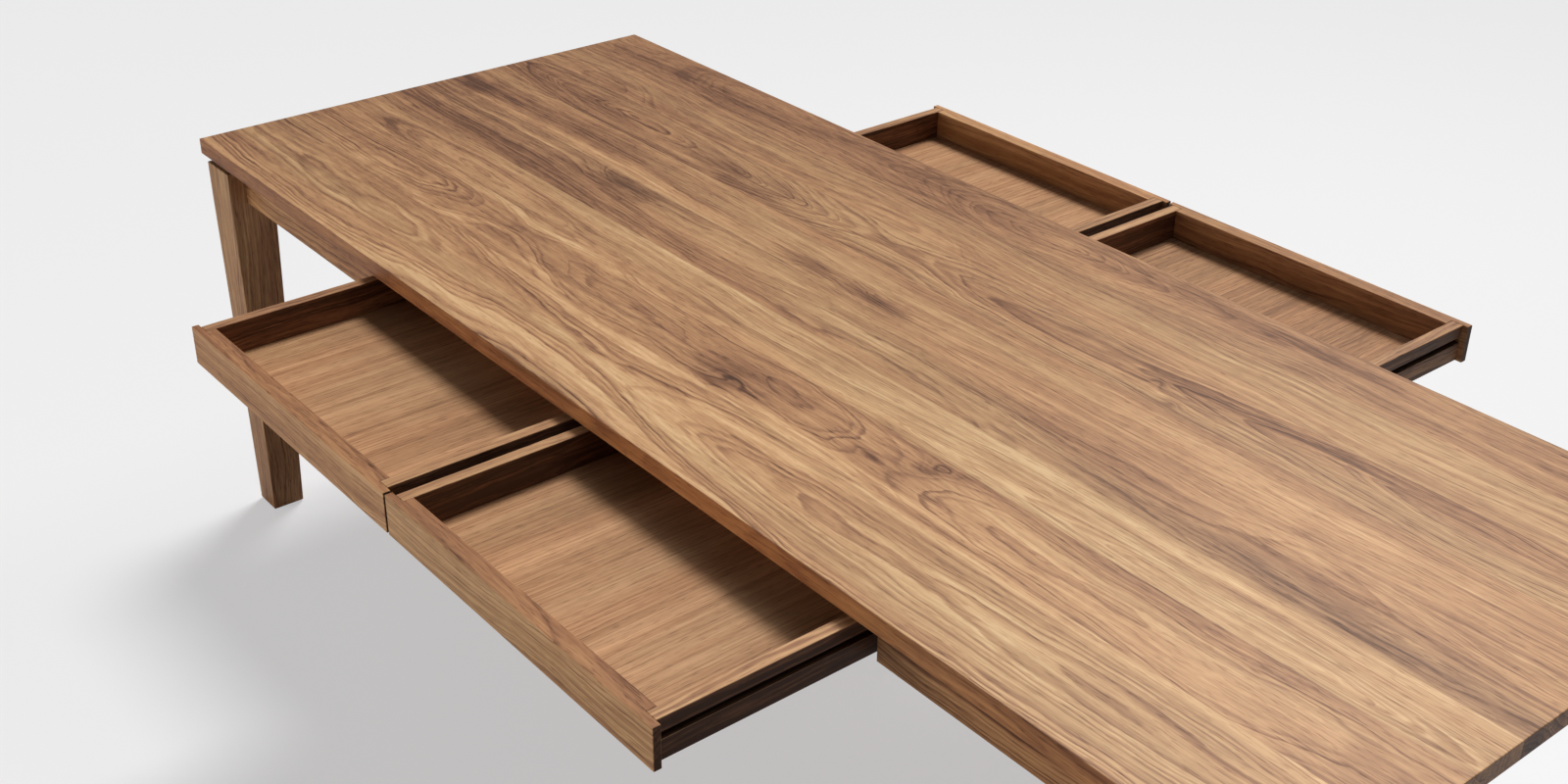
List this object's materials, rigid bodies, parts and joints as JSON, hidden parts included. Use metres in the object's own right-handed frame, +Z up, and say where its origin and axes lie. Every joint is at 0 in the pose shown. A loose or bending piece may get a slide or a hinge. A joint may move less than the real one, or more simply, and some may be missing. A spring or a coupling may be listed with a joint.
{
  "type": "dining table",
  "caption": "Rectangular walnut dining table on tapered square legs, with shallow drawers that slide out of both long sides",
  "frame": {"origin": "on the floor under the middle of the table top", "axes": "+X along the table's length, +Y across it towards the back long side, +Z up"},
  "size_m": [2.4, 1.517, 0.75],
  "materials": {
    "top": "oiled walnut, edge-glued staves, satin",
    "frame": "oiled solid walnut, satin",
    "drawer": "oiled solid walnut, satin",
    "drawer_floor": "walnut veneer panel, matt oil",
    "runner": "waxed dark hardwood",
    "glide": "black nylon",
    "screw": "zinc plated"
  },
  "bodies": {
    "root": {"tabletop": "top", "centre_bearer": "frame", "end_rail_left": "frame", "end_batten_left": "frame", "bay_bearer_left": "frame", "spine_rail_left": "frame", "end_rail_right": "frame", "end_batten_right": "frame", "bay_bearer_right": "frame", "spine_rail_right": "frame", "top_screw_middle_front": "screw", "leg_front_left": "frame", "glide_front_left": "glide", "apron_front_left": "frame", "runner_front_left_inner": "runner", "runner_front_left_outer": "runner", "top_screw_left_front": "screw", "leg_front_right": "frame", "glide_front_right": "glide", "apron_front_right": "frame", "runner_front_right_inner": "runner", "runner_front_right_outer": "runner", "top_screw_right_front": "screw", "top_screw_middle_back": "screw", "leg_back_left": "frame", "glide_back_left": "glide", "apron_back_left": "frame", "runner_back_left_inner": "runner", "runner_back_left_outer": "runner", "top_screw_left_back": "screw", "leg_back_right": "frame", "glide_back_right": "glide", "apron_back_right": "frame", "runner_back_right_inner": "runner", "runner_back_right_outer": "runner", "top_screw_right_back": "screw"},
    "drawer_front_left": {"drawer_front_left_front": "drawer", "drawer_front_left_side_inner": "drawer", "drawer_front_left_side_outer": "drawer", "drawer_front_left_back": "drawer", "drawer_front_left_floor": "drawer_floor"},
    "drawer_front_right": {"drawer_front_right_front": "drawer", "drawer_front_right_side_inner": "drawer", "drawer_front_right_side_outer": "drawer", "drawer_front_right_back": "drawer", "drawer_front_right_floor": "drawer_floor"},
    "drawer_back_left": {"drawer_back_left_front": "drawer", "drawer_back_left_side_inner": "drawer", "drawer_back_left_side_outer": "drawer", "drawer_back_left_back": "drawer", "drawer_back_left_floor": "drawer_floor"},
    "drawer_back_right": {"drawer_back_right_front": "drawer", "drawer_back_right_side_inner": "drawer", "drawer_back_right_side_outer": "drawer", "drawer_back_right_back": "drawer", "drawer_back_right_floor": "drawer_floor"}
  },
  "joints": [
    {"name": "drawer_front_left_slide", "type": "slide", "parent": "root", "child": "drawer_front_left", "axis": [0, -1, 0], "range_m": [-0.318, 0]},
    {"name": "drawer_front_right_slide", "type": "slide", "parent": "root", "child": "drawer_front_right", "axis": [0, -1, 0], "range_m": [-0.318, 0]},
    {"name": "drawer_back_left_slide", "type": "slide", "parent": "root", "child": "drawer_back_left", "axis": [0, 1, 0], "range_m": [-0.318, 0]},
    {"name": "drawer_back_right_slide", "type": "slide", "parent": "root", "child": "drawer_back_right", "axis": [0, 1, 0], "range_m": [-0.318, 0]}
  ]
}
